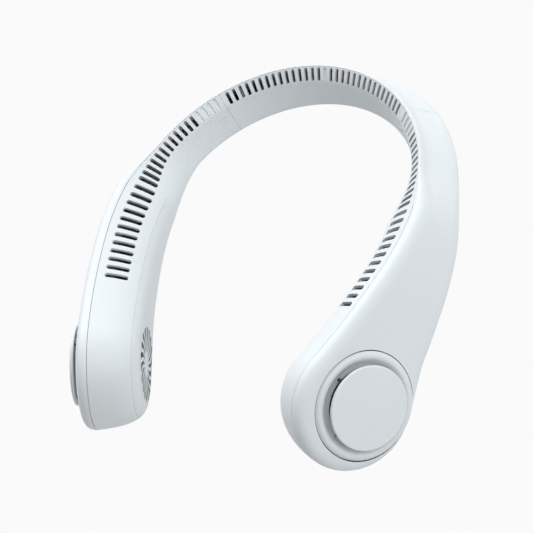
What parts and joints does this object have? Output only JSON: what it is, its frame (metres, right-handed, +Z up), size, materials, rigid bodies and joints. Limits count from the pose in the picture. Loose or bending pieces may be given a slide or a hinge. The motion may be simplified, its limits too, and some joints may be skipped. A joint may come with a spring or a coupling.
{
  "type": "neck fan",
  "caption": "U-shaped bladeless-look fan worn round the neck: slotted hollow band, soft bending sleeves and round fan heads with swirl grilles and intake rings.",
  "frame": {"origin": "centre of the bounding box, on the table under the two heads and the back band", "axes": "+Z up, +Y to the back of the neck, +X to the wearer's arm with the button"},
  "size_m": [0.2118, 0.2243, 0.0669],
  "materials": {
    "shell_white": "satin",
    "frame_white": "satin",
    "cover_white": "satin",
    "bezel_white": "satin",
    "disc_white": "satin gloss",
    "sleeve_white": "soft matt",
    "button_white": "satin",
    "inner_grey": "matt",
    "blower_grey": "matt",
    "motor_steel": "turned",
    "magnet_dark": "matt",
    "coil_copper": "enamelled",
    "board_green": "satin",
    "switch_black": "matt",
    "port_steel": "satin",
    "lens_clear": "clear",
    "cell_wrap": "film",
    "lead_jacket": "matt"
  },
  "bodies": {
    "back_band": {"back_housing": "shell_white", "back_cover": "cover_white", "air_divider": "inner_grey", "wire_harness": "lead_jacket", "left_flex_sleeve": "sleeve_white", "right_flex_sleeve": "sleeve_white", "left_band_plug": "inner_grey", "right_band_plug": "inner_grey"},
    "right_arm": {"right_outer_shell": "shell_white", "right_arm_frame": "frame_white", "right_inner_cover": "cover_white", "right_intake_bezel": "bezel_white", "right_intake_disc": "disc_white", "right_arm_plug": "inner_grey", "right_motor_bracket": "inner_grey", "right_motor_screws": "motor_steel", "right_bearings": "motor_steel", "right_stator": "magnet_dark", "right_motor_coils": "coil_copper", "circuit_board": "board_green", "tact_switch": "switch_black", "usb_port": "port_steel", "indicator_lens": "lens_clear"},
    "left_arm": {"left_outer_shell": "shell_white", "left_arm_frame": "frame_white", "left_inner_cover": "cover_white", "left_intake_bezel": "bezel_white", "left_intake_disc": "disc_white", "left_arm_plug": "inner_grey", "left_motor_bracket": "inner_grey", "left_motor_screws": "motor_steel", "left_bearings": "motor_steel", "left_stator": "magnet_dark", "left_motor_coils": "coil_copper", "battery_cell": "cell_wrap", "battery_holder": "inner_grey"},
    "right_rotor": {"right_impeller": "blower_grey", "right_rotor_can": "motor_steel", "right_magnet_ring": "magnet_dark", "right_motor_shaft": "motor_steel"},
    "left_rotor": {"left_impeller": "blower_grey", "left_rotor_can": "motor_steel", "left_magnet_ring": "magnet_dark", "left_motor_shaft": "motor_steel"},
    "power_button": {"power_button": "button_white"}
  },
  "joints": [
    {"name": "right_arm_flex", "type": "hinge", "parent": "back_band", "child": "right_arm", "pos_m": [0.07764, 0.05665, 0.03599], "axis": [0, 0.2152, 0.9766], "range_deg": [-8, 20], "stiffness_Nm_per_rad": 2.5, "deforming": ["right_flex_sleeve", "wire_harness"]},
    {"name": "left_arm_flex", "type": "hinge", "parent": "back_band", "child": "left_arm", "pos_m": [-0.07764, 0.05665, 0.03599], "axis": [0, -0.2152, -0.9766], "range_deg": [-8, 20], "stiffness_Nm_per_rad": 2.5, "deforming": ["left_flex_sleeve", "wire_harness"]},
    {"name": "right_impeller_spin", "type": "hinge", "parent": "right_arm", "child": "right_rotor", "pos_m": [0.06703, -0.07326, 0.02567], "axis": [0.8794, -0.2653, 0.3952], "continuous": true},
    {"name": "left_impeller_spin", "type": "hinge", "parent": "left_arm", "child": "left_rotor", "pos_m": [-0.06703, -0.07326, 0.02567], "axis": [-0.8794, -0.2653, 0.3952], "continuous": true},
    {"name": "power_button_press", "type": "slide", "parent": "right_arm", "child": "power_button", "axis": [-0.1952, -0.053, 0.9793], "range_m": [0, 0.0005], "stiffness_N_per_m": 900, "springref_m": -0.001}
  ]
}
